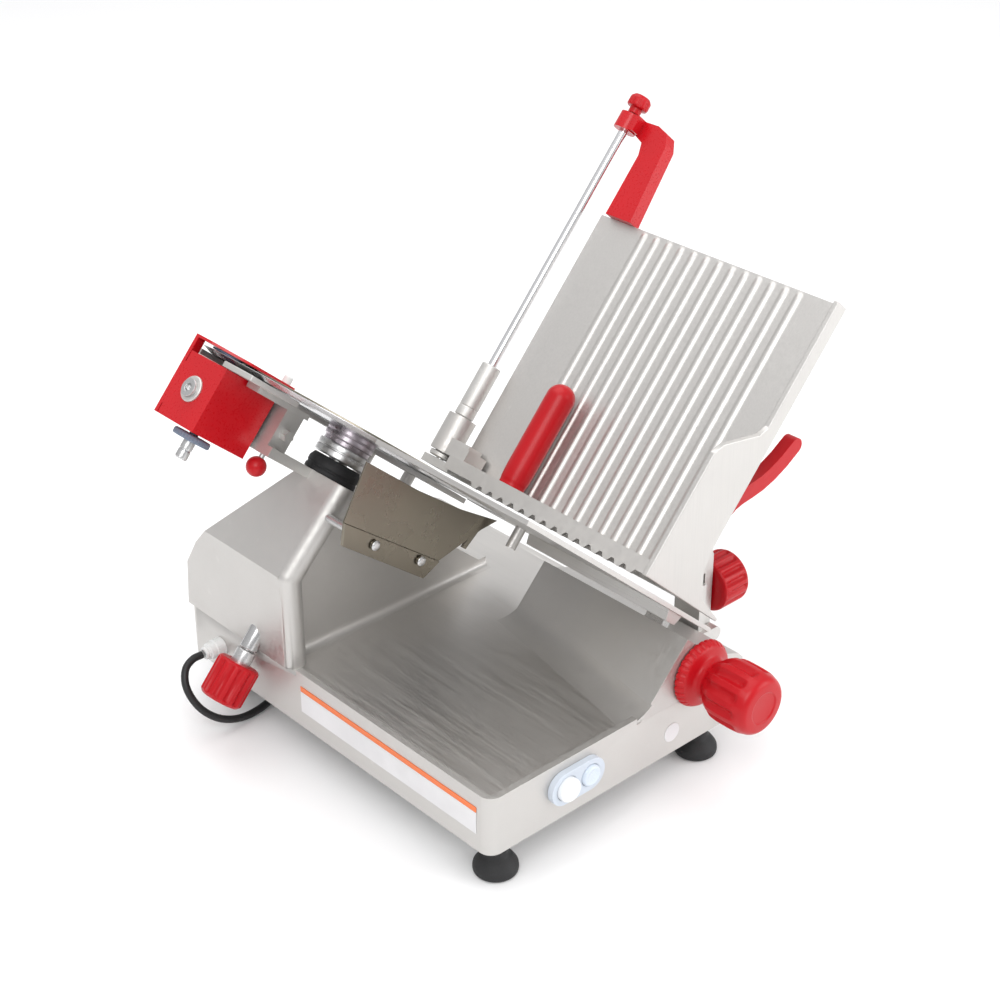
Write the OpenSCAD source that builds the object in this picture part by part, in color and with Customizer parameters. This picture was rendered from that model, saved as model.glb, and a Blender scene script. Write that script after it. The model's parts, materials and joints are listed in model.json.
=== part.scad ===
// Gravity-feed deli slicer, 12-inch class. Millimetres.
// +X product side, -Y operator side, +Z up, z = 0 on the table.

/* [Base] */
// Width of the base casting
base_x = 298; // [270:1:330]
// Depth of the base casting
base_y = 412; // [390:1:440]
// Height of the casting's underside above the table
foot_h = 40; // [30:1:60]
// Radius of a foot's tread
foot_r = 19.5; // [14:0.5:24]
// Height of the sunken deck above the casting's underside
deck_z = 51; // [48:1:54]
// Height of the lip round the deck
lip_h = 6; // [3:0.5:10]

/* [Blade] */
// Radius of the blade
blade_r = 150; // [130:1:151]
// Thickness of the blade
blade_t = 3.5; // [2.5:0.1:4]
// Radius of the still cover over the blade
cover_r = 118; // [90:1:125]
// Radius of the blade shaft
shaft_r = 9; // [7:0.1:10]

/* [Gauge and tray] */
// Length of the tray along its slope
tray_len = 280; // [230:1:330]
// Height of the tray's ribs
rib_h = 2; // [1:0.1:2.4]
// Radius of the chrome rod
rod_r = 4.5; // [3.5:0.1:5.5]
// Radius of the press handle
grip_r = 13.5; // [10:0.5:16]
// Length of the press handle
grip_len = 90; // [60:1:110]

/* [Knobs] */
// Radius of the slice-thickness knob
index_r = 29; // [22:1:35]
// Length of the slice-thickness knob
index_len = 60; // [45:1:75]
// Radius of the tray lock knob
lock_r = 25; // [18:1:29]
// Radius of the rear release knob
rel_r = 20; // [14:1:25]
// Radius of the pull ball
ball_r = 9; // [7:0.5:13]

/* [Hidden] */
$fn = 64;
ox = 212.13;           // origin's place in the base's own frame
oy = 191.75;
tilt = 48.5;           // blade axis above the horizontal
hub_x = 113.3;
hub_y = base_y - 114;
hub_z = 233.1;
w = 5;                 // casting wall
run = 0.05;            // running clearance on radius
top_pz = -48;          // tower's top face, along the blade axis from the cutting plane
left_px = -25;         // tower's leaning left face
pulley_r = [16, 7];    // blade and motor pulleys
floor_px = 142;        // tray floor, down the slope from the blade axis
rod_px = 128.5;
rod_y = 311 - hub_y;
arm_y = 70;            // carriage arm
foot_xy = [[28, 24], [base_x - 28, 24], [28, base_y - 24], [base_x - 28, base_y - 24]];
pivot_x = base_x + 20.5; // tray hinge, to the right of the base
rail = [base_x - 26, 30];
rail2 = [base_x - 56, 36];
rail_r = 8;
rail2_r = 5;
idx_px = 202.3;        // index shaft in the blade's frame
idx_pz = -37.5;
gy = 51;               // gauge arm's place along Y
top_stone = [-124, 52]; // upper sharpening wheel's axis from the blade axis
stud_at = [[-18, -77], [42, -71]];  // deflector studs in the blade's frame
tower_front = [[278, deck_z], [262, 160], [240, 272]];  // tower's front face, [y, z]
st = [-120, 45];       // lower sharpening wheel's axis from the blade axis
mot = [73, 32];        // motor axis from the blade axis
sw = [93, 33];         // switch centre
red = [0.78, 0.09, 0.12];
alu = [0.80, 0.79, 0.77];
steel = [0.70, 0.70, 0.69];
dark = [0.08, 0.08, 0.09];
// cord route, base frame
cord_r = 3.5;
route = [[-22, 363, 27], [-32, 363, 26.5], [-42, 360, 22], [-48, 353, 12], [-47, 345, -1], [-40, 338, -14],
  [-26, 333, -26], [-6, 332, -34], [18, 335, -36.5], [48, 345, -36.5], [78, 362, -36.5], [104, 386, -36.5],
  [122, 413, -36.5], [127.2, 436, -36.5], [128.4, 456, -36.5]];
coil = [175, 476, 36.5];
plug_at = [257, 514];

// place in the base frame, [x, z], of a point given down the slope and along the blade axis
function at(px, pz) = [hub_x + px * sin(tilt) + pz * cos(tilt), hub_z - px * cos(tilt) + pz * sin(tilt)];
module B() { translate([-ox, -oy, foot_h]) children(); }
module P() { B() translate([hub_x, hub_y, hub_z]) rotate([0, 90 - tilt, 0]) children(); }
// cylinder along +Y from y0, in the frame it is called in
module ycyl(r, y0, len, x, z) { translate([x, y0, z]) rotate([-90, 0, 0]) cylinder(r = r, h = len); }
module xcyl(r, x0, len, y, z) { translate([x0, y, z]) rotate([0, 90, 0]) cylinder(r = r, h = len); }
// polygon in XZ, from y0 towards +Y
module xz(pts, y0, len) { translate([0, y0 + len, 0]) rotate([90, 0, 0]) linear_extrude(len) polygon(pts); }
// polygon in YZ, from x0 towards +X
module yz(pts, x0, len) { translate([x0, 0, 0]) rotate([90, 0, 90]) linear_extrude(len) polygon(pts); }
module rrect(x, y, r) {
  union() {
    translate([r, 0]) square([x - 2 * r, y]);
    translate([0, r]) square([x, y - 2 * r]);
    for (i = [r, x - r], j = [r, y - r]) translate([i, j]) circle(r);
  }
}
module stadium(l, h) { union() { square([l - h, h], center = true);
  for (s = [-1, 1]) translate([s * (l - h) / 2, 0]) circle(h / 2); } }
// fluted grip along +Z
module fluted(r, len, n, fr) {
  difference() {
    cylinder(r = r, h = len);
    for (i = [0:n - 1]) rotate([0, 0, i * 360 / n]) translate([r + fr * 0.45, 0, 3])
      cylinder(r = fr, h = len - 8);
  }
}
// outer tangent band round two pulleys, as a 2D shape
module band(r1, r2, c) {
  d = norm(c); a = atan2(c[1], c[0]); b = acos((r1 - r2) / d);
  union() {
    circle(r1);
    translate(c) circle(r2);
    polygon([[r1 * cos(a + b), r1 * sin(a + b)], [r1 * cos(a - b), r1 * sin(a - b)],
      [c[0] + r2 * cos(a - b), c[1] + r2 * sin(a - b)], [c[0] + r2 * cos(a + b), c[1] + r2 * sin(a + b)]]);
  }
}

module base_deck() color(alu) B() difference() {
  union() {
    difference() {
      linear_extrude(deck_z + lip_h) rrect(base_x, base_y, 12);
      translate([6, 6, deck_z]) cube([base_x, base_y, 40]);
      translate([166, -1, deck_z]) cube([base_x, base_y, 40]);
      translate([-1, 250, deck_z]) cube([base_x, base_y, 40]);
      translate([w, w, -1]) linear_extrude(deck_z - w + 1) rrect(base_x - 2 * w, base_y - 2 * w, 8);
    }
    for (p = foot_xy) translate([p[0], p[1], 2.6]) cylinder(r = 9, h = 11.4);
    for (p = foot_xy) translate([p[0] - 4, p[1] < 99 ? 0.5 : base_y - 24, 2.6]) cube([8, 23.5, 11]);
  }
  for (p = foot_xy) translate([p[0], p[1], 0]) cylinder(r = 4 + run, h = 12);
  // open ways up into the tower and the gauge-side housing
  translate([12, 288, deck_z - 10]) cube([215, base_y - 288 - 12, 20]);
  translate([204, 10, deck_z - 10]) cube([base_x - 214, 175, 20]);
  // long slot for the carriage arm
  translate([base_x - w - 1, arm_y - 20, 18]) cube([w + 2, 315, 24]);
  // switch and gland holes
  translate([sw[0], w + 1, sw[1]]) rotate([90, 0, 0]) linear_extrude(w + 2) stadium(52, 23);
  xcyl(6, -1, w + 2, 363, 27);
}
ramp_in = 5;
module above_ramp(d) translate([171.6, 0, 53]) rotate([0, 0, -10.6]) rotate([0, -47.6, 0])
  translate([-60, -80, -d]) cube([260, 400, 120]);
module gauge_housing() color(alu) B() difference() {
  xz([[160, deck_z], [160, 112], [225, 110], [258, 80], [292, 66], [base_x, 60], [base_x, deck_z]], 0, 195);
  above_ramp(0);
  difference() {
    xz([[164, deck_z - 1], [164, 104], [222.5, 104], [254, 75], [290, 61], [base_x - w, 57],
      [base_x - w, deck_z - 1]], w, 195 - 2 * w);
    above_ramp(ramp_in);
  }
  ycyl(5 + run, -1, w + 2, hub_x + idx_px * sin(tilt) + idx_pz * cos(tilt),
    hub_z - idx_px * cos(tilt) + idx_pz * sin(tilt));
  translate([hub_x, hub_y, hub_z]) rotate([0, 90 - tilt, 0])
    translate([178.5, gy - 12 - hub_y, -34]) cube([13, 24, 30]);
}
// everything above a plane across the blade axis
module above(pz) translate([hub_x, hub_y, hub_z]) rotate([0, 90 - tilt, 0]) translate([-400, -400, pz])
  cube([800, 800, 400]);
// everything to the upper left of a plane along the blade axis
module left_of(px) translate([hub_x, hub_y, hub_z]) rotate([0, 90 - tilt, 0]) translate([px - 400, -400, -400])
  cube([400, 800, 800]);
// the tower without its cavity: a lower part, and an upper part that leans along the blade axis
module tower_body() difference() {
  union() {
    difference() {
      yz(concat(tower_front, [[282, 272], [300, 222], [376, 142], [391, 125], [408, 97], [base_y, deck_z]]),
        0, 247);
      left_of(left_px);
      // room for the round front corner
      translate([hub_x, hub_y, hub_z]) rotate([0, 90 - tilt, 0])
        yz([[200 - hub_y, -150], [268.5 - hub_y, -150], [268 - hub_y, -138.6], [264 - hub_y, -48],
          [263 - hub_y, -30], [200 - hub_y, -30]], left_px - 20, 31);
    }
    yz([[268, deck_z], [268, 138], [281, 138], [281, deck_z]], 0, 22);
    translate([11, 268, deck_z]) cylinder(r = 11, h = 138.6 - deck_z);
    translate([11, 268, 138.6]) sphere(r = 11);
    translate([hub_x, hub_y, hub_z]) rotate([0, 90 - tilt, 0])
      translate([left_px + 11, 268 - hub_y, -138.6]) rotate([2.53, 0, 0]) cylinder(r = 11.2, h = 110);
  }
  above(top_pz);
}
module motor_tower() color(alu) B() difference() {
  tower_body();
  difference() {
    yz([[283, deck_z - 1], [267, 160], [245, 270], [276, 270], [295, 220], [371, 139], [386, 122], [402, 95],
      [base_y - w - 1, deck_z - 1]], w, 237);
    above(top_pz - w);
    left_of(left_px + w);
  }
  translate([hub_x, hub_y, hub_z]) rotate([0, 90 - tilt, 0]) {
    translate([0, 0, -60]) cylinder(r = 19 + run, h = 20);
    translate([28, 11, -210]) cylinder(r = 4 + run, h = 30);
  }
}
module bottom_cover() color(steel) B() difference() {
  translate([w + 0.3, w + 0.3, 0]) linear_extrude(2.5) rrect(base_x - 2 * w - 0.6, base_y - 2 * w - 0.6, 7.7);
  for (p = foot_xy) translate([p[0], p[1], -1]) cylinder(r = 4 + run, h = 5);
  for (i = [0:9], j = [0:1]) translate([90 + i * 8, 180 + j * 44, -1]) cube([3.5, 36, 5]);
}
module feet() color(dark) B() for (p = foot_xy) translate([p[0], p[1], -foot_h]) rotate_extrude()
  polygon([[0, 0], [foot_r - 3, 0], [foot_r - 0.6, 1.2], [foot_r, 4], [foot_r - 0.4, 8], [foot_r - 3, 12],
    [14, foot_h * 0.38], [11.5, foot_h * 0.44], [10.4, foot_h * 0.5], [10.4, foot_h], [0, foot_h]]);
module foot_studs() color(steel) B() for (p = foot_xy) translate([p[0], p[1], 0]) cylinder(r = 4, h = 11.5);

module shaft_seal() color(dark) P() translate([0, 0, top_pz]) difference() {
  union() { cylinder(r = 24.6, h = 11); translate([0, 0, 11]) cylinder(r1 = 24.6, r2 = 22, h = 5); }
  translate([0, 0, -1]) cylinder(r = shaft_r + 0.4, h = 30);
}
module bearing_housing() color(alu) P() difference() {
  translate([0, 0, -80]) cylinder(r = 19, h = 32);
  translate([0, 0, -76]) cylinder(r = 16, h = 24);
  translate([0, 0, -81]) cylinder(r = shaft_r + 2, h = 34);
}
module shaft_bearings() color(steel) P() for (z = [-76, -60]) translate([0, 0, z]) difference() {
  cylinder(r = 16, h = 8);
  translate([0, 0, -1]) cylinder(r = shaft_r + run, h = 10);
}
module blade() color(steel) P() difference() {
  rotate_extrude($fn = 180) polygon([[shaft_r + 3, 0], [blade_r, 0], [blade_r, -0.4], [blade_r - 9, -blade_t],
    [shaft_r + 3, -blade_t]]);
  for (i = [0:3]) rotate([0, 0, i * 90 + 45]) translate([17, 0, -9]) cylinder(r = 2.6, h = 12);
}
module blade_hub() color([0.62, 0.58, 0.6]) P() union() {
  translate([0, 0, -14]) cylinder(r = 23, h = 14 - blade_t);
  translate([0, 0, -blade_t]) cylinder(r = shaft_r + 3, h = blade_t);
  translate([0, 0, -18]) cylinder(r = 21.5, h = 4);
  translate([0, 0, -31]) cylinder(r = 24, h = 13);
  for (i = [0:3]) rotate([0, 0, i * 90 + 45]) translate([17, 0, -4]) cylinder(r = 2.6, h = 4);
}
module blade_shaft() color(steel) P() translate([0, 0, -98]) cylinder(r = shaft_r, h = 67);
module blade_pulley() color(alu) P() translate([0, 0, -96]) difference() {
  cylinder(r = pulley_r[0], h = 13);
  translate([0, 0, -1]) cylinder(r = shaft_r, h = 15);
  translate([0, 0, 9.5]) difference() { cylinder(r = pulley_r[0] - 2, h = 4); cylinder(r = shaft_r + 3, h = 4); }
}
module motor_shell() color([0.3, 0.31, 0.33]) P() translate([mot[0], mot[1], 0]) difference() {
  union() {
    translate([0, 0, -182]) cylinder(r = 42, h = 80);
    for (i = [0:11]) rotate([0, 0, i * 30]) translate([41, -1.2, -172]) cube([4, 2.4, 60]);
  }
  translate([0, 0, -178]) cylinder(r = 30, h = 72);
  translate([0, 0, -110]) cylinder(r = 6.5, h = 12);
}
module motor_mount() color(steel) P() translate([0, 0, -101.9]) difference() {
  linear_extrude(3.4) translate([20.4, -2]) square([96, 56]);
  translate([mot[0], mot[1], -1]) cylinder(r = 12, h = 6);
  translate([28, 11, -1]) cylinder(r = 4 + run, h = 6);
}
module motor_rotor() color([0.45, 0.42, 0.4]) P() translate([mot[0], mot[1], 0]) union() {
  translate([0, 0, -170]) cylinder(r = 29.6, h = 56);
  translate([0, 0, -177.6]) cylinder(r = 6, h = 95);
  translate([0, 0, -96]) cylinder(r = pulley_r[1], h = 13);
}
module drive_belt() color(dark) P() translate([0, 0, -94.5]) linear_extrude(10) difference() {
  band(pulley_r[0] + 2.9, pulley_r[1] + 2.9, mot);
  band(pulley_r[0] + 0.35, pulley_r[1] + 0.35, mot);
}
module ring_guard() color(alu) P() union() {
  difference() {
    translate([0, 0, -9]) cylinder(r = blade_r + 3.5, h = 4.8, $fn = 180);
    translate([0, 0, -10]) cylinder(r = 94, h = 8, $fn = 180);
    translate([-200, -200, -12]) cube([400, 181, 20]);
    translate([st[0], st[1], -12]) cylinder(r = 25, h = 12);
    translate([st[0] - 60, st[1] - 25, -12]) cube([60, 50, 12]);
  }
  // rim tab that carries the blade cover
  difference() {
    translate([-14, 150, -9]) cube([28, 9, 9.4]);
    translate([0, 0, -4.2]) cylinder(r = blade_r + 1.5, h = 20, $fn = 180);
  }
  for (p = [[110, 78], [128, 36]]) translate([p[0], p[1], top_pz]) cylinder(r = 6, h = 39);
}
module blade_cover() color(steel) P() union() {
  translate([0, 0, 0.4]) cylinder(r = cover_r, h = 1.8, $fn = 120);
  translate([-14, 0, 0.4]) cube([28, 159, 1.8]);
  translate([0, 0, 2.2]) cylinder(r1 = 16, r2 = 12, h = 1.6);
}
module deflector() color([0.55, 0.52, 0.47]) P() union() {
  xz([[-72, -20], [-61, -72.5], [66, -64], [96, -22], [109, -8.5], [60, -15.5], [0, -19.5]],
    198 - hub_y, 1.6);
  xz([[-61, -72.5], [-50, -90], [58, -83.5], [66, -64]], 196.4 - hub_y, 3.2);
  xz([[96, -22], [92, -44], [87, -44], [90, -20]], 199.6 - hub_y, 3);
  for (p = stud_at) ycyl(3.6, 194.4 - hub_y, 2, p[0], p[1]);
}
module deflector_studs() color(steel) B() for (p = stud_at) let (c = at(p[0], p[1])) difference() {
  ycyl(4, 199.6, 75, c[0], c[1]);
  tower_body();
}
module sharp_mount() color(alu) P() union() {
  difference() {
    union() {
      translate([-78, 5, -52]) cube([22, 48, 38]);
      // bar to the tower
      translate([-78, -2, -57]) cube([left_px + 78, 40, 9]);
    }
    translate([-67, 16, -58]) cylinder(r = 2.5 + run, h = 25);
  }
  translate([-122, 0, -14]) cube([66, 16, 5]);
  for (y = [30, 60]) translate([-78, y, -48]) rotate([0, -90, 0]) cylinder(r = 4, h = 62);
  translate([-78, 53, -52]) cube([10, 12, 12]);
  ycyl(5.5, -2, 7, -67, -34, $fn = 6);
}
module cable_gland() color([0.86, 0.86, 0.84]) B() difference() {
  union() for (q = [[9, -9, 9], [8, -15, 6], [6.5, -20, 5], [5.9, 0, 8]]) xcyl(q[0], q[1], q[2], 363, 27);
  xcyl(cord_r + run, -21, 40, 363, 27);
}
module switch_bezel() color([0.75, 0.8, 0.86]) B() difference() {
  translate([sw[0], 0, sw[1]]) rotate([90, 0, 0]) linear_extrude(6) stadium(60, 31);
  ycyl(11.3, -7, 8, sw[0] - 13, sw[1]);
  ycyl(10.3, -7, 8, sw[0] + 13.5, sw[1]);
}
module switch_body() color(dark) B() translate([sw[0] - 24, w + 0.6, sw[1] - 9]) cube([48, 26, 18]);
module start_button() color([0.93, 0.94, 0.95]) B() ycyl(11, -12, 12.4, sw[0] - 13, sw[1]);
module stop_button() color([0.7, 0.78, 0.86]) B() ycyl(10, -9, 9.4, sw[0] + 13.5, sw[1]);
module label_plate() color([0.93, 0.93, 0.92]) B() translate([-0.6, 16, 17]) cube([0.6, 228, 21]);
module label_band() color([0.85, 0.35, 0.15]) B() translate([-0.6, 16, 38.3]) cube([0.6, 228, 5]);
module badge_disc() color([0.88, 0.88, 0.87]) B() ycyl(9, -0.8, 0.8, 210, 22);
module rail_rods() color(steel) B() {
  ycyl(rail_r, w, base_y - 2 * w, rail[0], rail[1]);
  ycyl(rail2_r, w, base_y - 2 * w, rail2[0], rail2[1]);
}
module gauge_guide() color(steel) P() union() {
  translate([200, gy - hub_y, -66]) cylinder(r = 5, h = 41);
  translate([193, gy - 7 - hub_y, -70]) cube([14, 14, 4]);
}
module gauge_plate() color(alu) P() union() {
  difference() {
    translate([-95, 2 - hub_y, -4]) cube([286, hub_y - 22, 4]);
    cylinder(r = blade_r + 2.5, h = 30, center = true, $fn = 180);
  }
  // stiffening rib and stop pin under the plate
  xz([[140, -13.5], [154, -13.5], [158, -4], [136, -4]], 12 - hub_y, 170);
  translate([118, 178 - hub_y, -24]) cylinder(r = 5, h = 20);
}
module gauge_arm() color(steel) P() difference() {
  union() {
    translate([180, gy - 10 - hub_y, -50]) cube([10, 20, 46]);
    translate([189, gy - 8 - hub_y, -48]) cube([19, 16, 9]);
    translate([181, 33 - hub_y, -38.2]) cube([35, 8.5, 12]);
  }
  translate([200, gy - hub_y, -60]) cylinder(r = 5 + run, h = 30);
  translate([192.5, 30 - hub_y, idx_pz + 6.5 - 3.5]) cube([20, 8.4, 7]);
}
module index_shaft() color(steel) P() union() {
  ycyl(5, -26 - hub_y, 51, idx_px, idx_pz);
  ycyl(11, 24.5 - hub_y, 5.5, idx_px, idx_pz);
  ycyl(2, 30 - hub_y, 7.6, idx_px, idx_pz + 6.5);
}
module index_knob() color(red) P() translate([idx_px, -0.5 - hub_y, idx_pz]) rotate([90, 0, 0]) difference() {
  rotate_extrude() polygon([[5, 0], [31, 0], [31, 4], [28, 10], [19, 13], [18, 19], [index_r - 4, 27],
    [index_r, 37], [index_r, index_len + 1], [index_r - 3, index_len + 11], [index_r - 6, index_len + 13],
    [0, index_len + 13], [0, 26.2], [5, 26.2]]);
  for (i = [0:29]) rotate([0, 0, i * 12]) translate([31.6, 0, -1]) cylinder(r = 1.2, h = 8);
  for (i = [0:11]) rotate([0, 0, i * 30]) translate([index_r + 2.2, 0, 21])
    cylinder(r = 4.6, h = index_len - 18);
}

module carriage_block() color(alu) B() difference() {
  union() {
    translate([base_x - 40, 30, 16]) cube([30, 80, 28]);
    translate([base_x - 64, 30, 28]) cube([25, 80, 16]);
  }
  ycyl(rail_r + run, 29, 82, rail[0], rail[1]);
  ycyl(rail2_r + run, 29, 82, rail2[0], rail2[1]);
}
module carriage_arm() color(alu) B() difference() {
  union() {
    translate([base_x - 10, arm_y - 15, 23]) cube([14, 30, 14]);
    translate([base_x + 3, arm_y - 15, 23]) cube([8, 30, 81]);
    for (y = [arm_y - 20, arm_y + 10.3]) {
      ycyl(7, y, 9.7, pivot_x, 50);
      translate([base_x + 3, y, 43]) cube([15, 9.7, 14]);
    }
    ycyl(4, arm_y - 20, 40, pivot_x, 50);
  }
}
module tray_bracket() color(alu) B() difference() {
  union() {
    difference() {
      xz([at(floor_px + 3, 14.9), at(floor_px + 3, 95.2), [pivot_x + 3.5, 128], [pivot_x + 3.5, 56],
        [pivot_x - 6.5, 56], [pivot_x - 6.5, 112], [275, 112]], arm_y - 10, 20);
      xz([[253, 150], [283, 184], [pivot_x - 9.5, 126], [275, 123]], arm_y - 11, 5);
      xz([[253, 150], [283, 184], [pivot_x - 9.5, 126], [275, 123]], arm_y + 6, 5);
    }
    ycyl(7, arm_y - 10, 20, pivot_x, 50);
    translate([pivot_x - 6.5, arm_y - 10, 50]) cube([10, 20, 10]);
  }
  ycyl(4 + run, arm_y - 11, 22, pivot_x, 50);
  xcyl(4 + run, pivot_x - 18.5, 30, arm_y, 89);
}
module lock_knob() color(red) B() union() {
  translate([pivot_x + 5.5, arm_y, 89]) rotate([0, 90, 0]) fluted(lock_r, 34, 16, 3.4);
  xcyl(4, pivot_x - 6.9, 12.6, arm_y, 89);
}
module tray_floor() color(alu) P() union() {
  translate([floor_px, 14 - hub_y, 8]) cube([3, 282, tray_len]);
  for (i = [0:12]) translate([floor_px + 0.3, 56 + 15.2 * i - hub_y, 12])
    cylinder(r = rib_h + 0.3, h = tray_len - 4);
}
module tray_wall() color(alu) P() difference() {
  xz([[145, tray_len + 8], [130, tray_len + 8], [130, 168], [124, 158], [86, 134], [80, 124], [80, 9.5],
    [203, 7], [203, 9.5], [168, 17], [150, 38], [145, 60]], 9 - hub_y, 5);
  xz([[138, tray_len], [134, tray_len], [134, 164], [128, 154], [90, 131], [86, 122], [86, 18], [138, 18]],
    12.2 - hub_y, 1.9);
}
// curved lever, a flat bar whose line runs up and outwards from the tray
module tray_lever() color(red) P() let (y = 25 - hub_y, h = 7.5,
  c = [[152, 92], [155, 101], [161, 110], [169, 119], [177, 129], [184, 141], [190, 155], [195, 172]],
  n = len(c),
  t = [for (i = [0:n - 1]) let (d = c[min(i + 1, n - 1)] - c[max(i - 1, 0)]) d / norm(d)],
  l = [for (i = [0:n - 1]) c[i] + h * [-t[i][1], t[i][0]]],
  r = [for (i = [n - 1:-1:0]) c[i] - h * [-t[i][1], t[i][0]]]) union() {
  translate([146.2, y - 7, 80]) cube([8, 14, 24]);
  xz(concat(l, r), y - 6, 12);
  ycyl(h, y - 6, 12, c[n - 1][0], c[n - 1][1]);
}
module rod_arm() color(red) P() difference() {
  union() {
    translate([133, 0, 0]) yz([[254 - hub_y, tray_len + 8.2], [285 - hub_y, tray_len + 8.2],
      [285 - hub_y, 350], [289 - hub_y, 362], [301 - hub_y, 367], [301 - hub_y, 382], [280 - hub_y, 382],
      [268 - hub_y, 378],
      [261 - hub_y, 366]], 0, 15);
    translate([145.2, 256 - hub_y, tray_len - 12]) cube([3, 27, 24]);
    translate([rod_px, rod_y, 366]) cylinder(r = 11, h = 16);
    translate([rod_px - 7, 296 - hub_y, 367]) cube([14, 8, 15]);
  }
  translate([rod_px, rod_y, 360]) cylinder(r = rod_r + 0.02, h = 30);
}
module press_rod() color([0.85, 0.85, 0.86]) P() translate([rod_px, rod_y, 9]) cylinder(r = rod_r, h = 374.6);
module rod_foot() color(alu) P() difference() {
  translate([rod_px - 9, 288 - hub_y, 8]) cube([25.5, 36, 8]);
  translate([rod_px, rod_y, 9]) cylinder(r = rod_r + 0.02, h = 10);
  translate([floor_px - 0.1, 280 - hub_y, 0]) cube([3.2, 16.1, 20]);
}
module rod_knob() color(red) P() translate([rod_px, rod_y, 384]) difference() {
  union() {
    cylinder(r = 6, h = 8);
    translate([0, 0, 6]) cylinder(r = 10.5, h = 9);
    translate([0, 0, 15]) cylinder(r1 = 10.5, r2 = 7.5, h = 3);
  }
  for (i = [0:7]) rotate([0, 0, i * 45]) translate([11.4, 0, 5]) cylinder(r = 2, h = 14, $fn = 24);
}
module press_sleeve() color([0.78, 0.78, 0.77]) P() translate([rod_px, rod_y, 0]) difference() {
  union() {
    translate([0, 0, 17]) cylinder(r = 12, h = 5);
    translate([0, 0, 17]) cylinder(r = 8, h = 50);
    translate([0, 0, 61]) cylinder(r = 9.5, h = 54);
  }
  translate([0, 0, 10]) cylinder(r = rod_r + run, h = 120);
}
module press_arm() color([0.76, 0.75, 0.73]) P() difference() {
  union() {
    difference() {
      translate([108, 31 - hub_y, 11]) cube([30, 253, 13]);
      translate([111, 30 - hub_y, 10]) cube([24, 100, 11]);
      translate([111, 140 - hub_y, 10]) cube([24, 130, 11]);
    }
    translate([110, 268 - hub_y, 23]) cube([28, 18, 12]);
    translate([117, 276 - hub_y, 23]) cube([20, 24, 16]);
    translate([rod_px, rod_y, 23]) cylinder(r = 14, h = 37);
    for (i = [0:14]) translate([108, 0, 0]) yz([[42 + i * 13.8 - hub_y, 11.2], [53 + i * 13.8 - hub_y, 11.2],
      [50 + i * 13.8 - hub_y, 6.8], [45 + i * 13.8 - hub_y, 6.8]], 0, 3);
  }
  translate([rod_px, rod_y, 20]) cylinder(r = 8 + run, h = 50);
}
module press_grip() color(red) P() translate([124, 216 - hub_y, 24]) union() {
  cylinder(r = grip_r, h = grip_len);
  translate([0, 0, grip_len]) sphere(r = grip_r);
}
module sharp_cover() color(red) P() union() {
  difference() {
    translate([-146, 19, -69]) cube([64, 50, 59.5]);
    translate([-144, 21, -67]) cube([70, 46, 55.5]);
    translate([st[0], st[1], -75]) cylinder(r = 4.6, h = 20);
    translate([st[0], st[1], -20]) cylinder(r = 22, h = 20);
  }
  // leg round the rim and the plate above the blade
  translate([-146, 70, -69]) cube([8.5, 4, 74]);
  translate([-146, 68.8, -60]) cube([8.5, 1.4, 40]);
  translate([0, 0, 2.6]) linear_extrude(2.4) difference() {
    polygon([[-66, 22], [-122, 22], [-130, 38], [-146, 52], [-146, 74], [-136, 74], [-120, 70], [-66, 70]]);
    translate(top_stone) circle(3 + run);
  }
}
module sharp_frame() color(steel) P() difference() {
  union() {
    translate([-104, 22, -64]) cube([16, 44, 26]);
    translate([-143.6, 24, -66.8]) cube([58, 40, 3]);
  }
  for (y = [30, 60]) translate([-80, y, -48]) rotate([0, -90, 0]) cylinder(r = 4 + run, h = 40);
  translate([st[0], st[1], -75]) cylinder(r = 4 + run, h = 20);
}
module sharp_screw() color(steel) P() translate([-146, 45, -38]) rotate([0, -90, 0]) difference() {
  cylinder(r = 8, h = 5);
  translate([0, 0, 1.6]) cylinder(r = 4, h = 4, $fn = 6);
}
module sharp_wheel_low() color([0.32, 0.36, 0.42]) P() translate([st[0], st[1], 0]) union() {
  translate([0, 0, -28]) cylinder(r = 20, h = 16);
  translate([0, 0, -71.5]) cylinder(r = 4, h = 44);
  translate([0, 0, -77]) cylinder(r = 17, h = 6);
  translate([0, 0, -94]) cylinder(r = 5.5, h = 17);
}
module sharp_wheel_top() color([0.6, 0.6, 0.62]) P() translate([top_stone[0], top_stone[1], 0]) union() {
  translate([0, 0, 0.5]) cylinder(r = 14, h = 1.7);
  translate([0, 0, 0.5]) cylinder(r = 3, h = 4.5);
}
module pull_ball() color(red) P() translate([-67, 16, 0]) union() {
  translate([0, 0, -69]) sphere(r = ball_r);
  translate([0, 0, -66]) cylinder(r = 2.5, h = 30);
}
module release_knob() color(red) P() translate([28, 11, 0]) union() {
  translate([0, 0, -202.7 - 64]) fluted(rel_r, 38, 12, 3);
  translate([0, 0, -202.7 - 27]) cylinder(r = 9, h = 14);
  translate([0, 0, -216]) cylinder(r = 4, h = 116.4);
}
// round lead, one ring of points at each route point
module cord_lead() color(dark) B() let (n = len(route), m = 10)
  polyhedron(
    points = [for (i = [0:n - 1]) let (a = route[max(i - 1, 0)], b = route[min(i + 1, n - 1)],
        d = (b - a) / norm(b - a), s = cross(d, [0, 0, 1]),
        u = norm(s) > 0.1 ? s / norm(s) : [1, 0, 0], v = cross(u, d))
        for (k = [0:m - 1]) route[i] + cord_r * (cos(k * 360 / m) * u + sin(k * 360 / m) * v)],
    faces = concat([[for (k = [0:m - 1]) k]], [[for (k = [m - 1:-1:0]) (n - 1) * m + k]],
      [for (i = [0:n - 2], k = [0:m - 1]) [i * m + k, (i + 1) * m + k, (i + 1) * m + (k + 1) % m]],
      [for (i = [0:n - 2], k = [0:m - 1]) [i * m + k, (i + 1) * m + (k + 1) % m, i * m + (k + 1) % m]]));
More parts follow.
